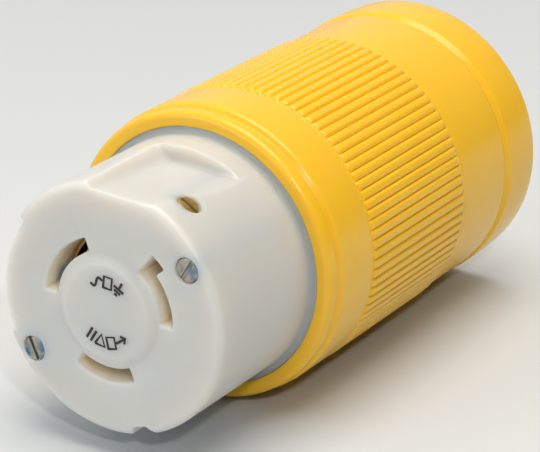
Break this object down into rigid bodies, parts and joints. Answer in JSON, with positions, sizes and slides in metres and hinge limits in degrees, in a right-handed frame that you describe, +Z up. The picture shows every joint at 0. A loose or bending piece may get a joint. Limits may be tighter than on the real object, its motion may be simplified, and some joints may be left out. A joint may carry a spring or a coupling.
{
  "type": "female locking shore power connector",
  "caption": "Round female locking connector for a shore power cord: white contact carrier with curved slots in a yellow ribbed housing with an internal cable clamp.",
  "frame": {"origin": "middle of the bounding box, on the surface the connector lies on", "axes": "+Y from the mating face to the cable entry, +Z up, +X to the right seen from the mating face"},
  "size_m": [0.0688, 0.1344, 0.0688],
  "materials": {
    "yellow_nylon": "moulded nylon, soft gloss",
    "white_nylon": "translucent nylon, satin",
    "insulator_nylon": "moulded nylon, matt",
    "grey_nylon": "moulded nylon, matt",
    "brass": "bright, slightly aged",
    "steel": "plated steel",
    "black_rubber": "moulded rubber, matt"
  },
  "bodies": {
    "shell": {"housing": "yellow_nylon", "rear_cap": "yellow_nylon", "cord_grommet": "black_rubber", "contact_carrier": "white_nylon", "rear_insulator": "insulator_nylon", "retainer_screws": "steel", "carrier_seal": "black_rubber", "contact_line": "brass", "contact_neutral": "brass", "contact_ground": "brass", "terminal_block_line": "brass", "terminal_block_neutral": "brass", "terminal_block_ground": "brass", "thread_inserts": "brass"},
    "plate_line": {"pressure_plate_line": "steel"},
    "terminal_screw_line": {"terminal_screw_line": "brass"},
    "plate_neutral": {"pressure_plate_neutral": "steel"},
    "terminal_screw_neutral": {"terminal_screw_neutral": "brass"},
    "plate_ground": {"pressure_plate_ground": "steel"},
    "terminal_screw_ground": {"terminal_screw_ground": "brass"},
    "washer_right": {"screw_washer_right": "steel"},
    "assembly_screw_right": {"assembly_screw_right": "steel"},
    "washer_left": {"screw_washer_left": "steel"},
    "assembly_screw_left": {"assembly_screw_left": "steel"},
    "clamp_screw_upper": {"clamp_screw_upper": "steel"},
    "wedge_nut_upper": {"wedge_nut_upper": "steel"},
    "clamp_jaw_upper": {"clamp_jaw_upper": "grey_nylon"},
    "clamp_screw_lower": {"clamp_screw_lower": "steel"},
    "wedge_nut_lower": {"wedge_nut_lower": "steel"},
    "clamp_jaw_lower": {"clamp_jaw_lower": "grey_nylon"}
  },
  "joints": [
    {"name": "plate_line_travel", "type": "slide", "parent": "shell", "child": "plate_line", "axis": [-0.515, 0, -0.8572], "range_m": [0, 0.004]},
    {"name": "terminal_screw_line_turn", "type": "hinge", "parent": "plate_line", "child": "terminal_screw_line", "pos_m": [0.01288, -0.0562, 0.05583], "axis": [-0.515, 0, -0.8572], "range_deg": [0, 1800]},
    {"name": "plate_neutral_travel", "type": "slide", "parent": "shell", "child": "plate_neutral", "axis": [0.9998, 0, -0.0175], "range_m": [0, 0.004]},
    {"name": "terminal_screw_neutral_turn", "type": "hinge", "parent": "plate_neutral", "child": "terminal_screw_neutral", "pos_m": [-0.025, -0.0562, 0.03484], "axis": [0.9998, 0, -0.0175], "range_deg": [0, 1800]},
    {"name": "plate_ground_travel", "type": "slide", "parent": "shell", "child": "plate_ground", "axis": [-0.4848, 0, 0.8746], "range_m": [0, 0.004]},
    {"name": "terminal_screw_ground_turn", "type": "hinge", "parent": "plate_ground", "child": "terminal_screw_ground", "pos_m": [0.01212, -0.0562, 0.01253], "axis": [-0.4848, 0, 0.8746], "range_deg": [0, 1800]},
    {"name": "assembly_screw_right_travel", "type": "slide", "parent": "shell", "child": "washer_right", "axis": [0, 1, 0], "range_m": [-0.012, 0]},
    {"name": "assembly_screw_right_turn", "type": "hinge", "parent": "washer_right", "child": "assembly_screw_right", "pos_m": [0.02006, -0.0562, 0.04793], "axis": [0, 1, 0], "range_deg": [-5400, 0]},
    {"name": "assembly_screw_left_travel", "type": "slide", "parent": "shell", "child": "washer_left", "axis": [0, 1, 0], "range_m": [-0.012, 0]},
    {"name": "assembly_screw_left_turn", "type": "hinge", "parent": "washer_left", "child": "assembly_screw_left", "pos_m": [-0.02006, -0.0562, 0.02087], "axis": [0, 1, 0], "range_deg": [-5400, 0]},
    {"name": "clamp_screw_upper_turn", "type": "hinge", "parent": "shell", "child": "clamp_screw_upper", "pos_m": [0, 0.0538, 0.058], "axis": [0, -1, 0], "range_deg": [0, 4320]},
    {"name": "wedge_nut_upper_travel", "type": "slide", "parent": "shell", "child": "wedge_nut_upper", "axis": [0, 1, 0], "range_m": [0, 0.009]},
    {"name": "clamp_jaw_upper_grip", "type": "slide", "parent": "shell", "child": "clamp_jaw_upper", "axis": [0, 0, -1], "range_m": [0, 0.0045]},
    {"name": "clamp_screw_lower_turn", "type": "hinge", "parent": "shell", "child": "clamp_screw_lower", "pos_m": [0, 0.0538, 0.0108], "axis": [0, -1, 0], "range_deg": [0, 4320]},
    {"name": "wedge_nut_lower_travel", "type": "slide", "parent": "shell", "child": "wedge_nut_lower", "axis": [0, 1, 0], "range_m": [0, 0.009]},
    {"name": "clamp_jaw_lower_grip", "type": "slide", "parent": "shell", "child": "clamp_jaw_lower", "axis": [0, 0, 1], "range_m": [0, 0.0045]}
  ],
  "couplings": [
    {"joint": "terminal_screw_line_turn", "follows": "plate_line_travel", "rad_per_m": 7854},
    {"joint": "terminal_screw_neutral_turn", "follows": "plate_neutral_travel", "rad_per_m": 7854},
    {"joint": "terminal_screw_ground_turn", "follows": "plate_ground_travel", "rad_per_m": 7854},
    {"joint": "assembly_screw_right_turn", "follows": "assembly_screw_right_travel", "rad_per_m": 7854},
    {"joint": "assembly_screw_left_turn", "follows": "assembly_screw_left_travel", "rad_per_m": 7854},
    {"joint": "clamp_screw_upper_turn", "follows": "wedge_nut_upper_travel", "rad_per_m": 8377.6},
    {"joint": "clamp_jaw_upper_grip", "follows": "wedge_nut_upper_travel", "ratio": 0.5},
    {"joint": "clamp_screw_lower_turn", "follows": "wedge_nut_lower_travel", "rad_per_m": 8377.6},
    {"joint": "clamp_jaw_lower_grip", "follows": "wedge_nut_lower_travel", "ratio": 0.5}
  ]
}
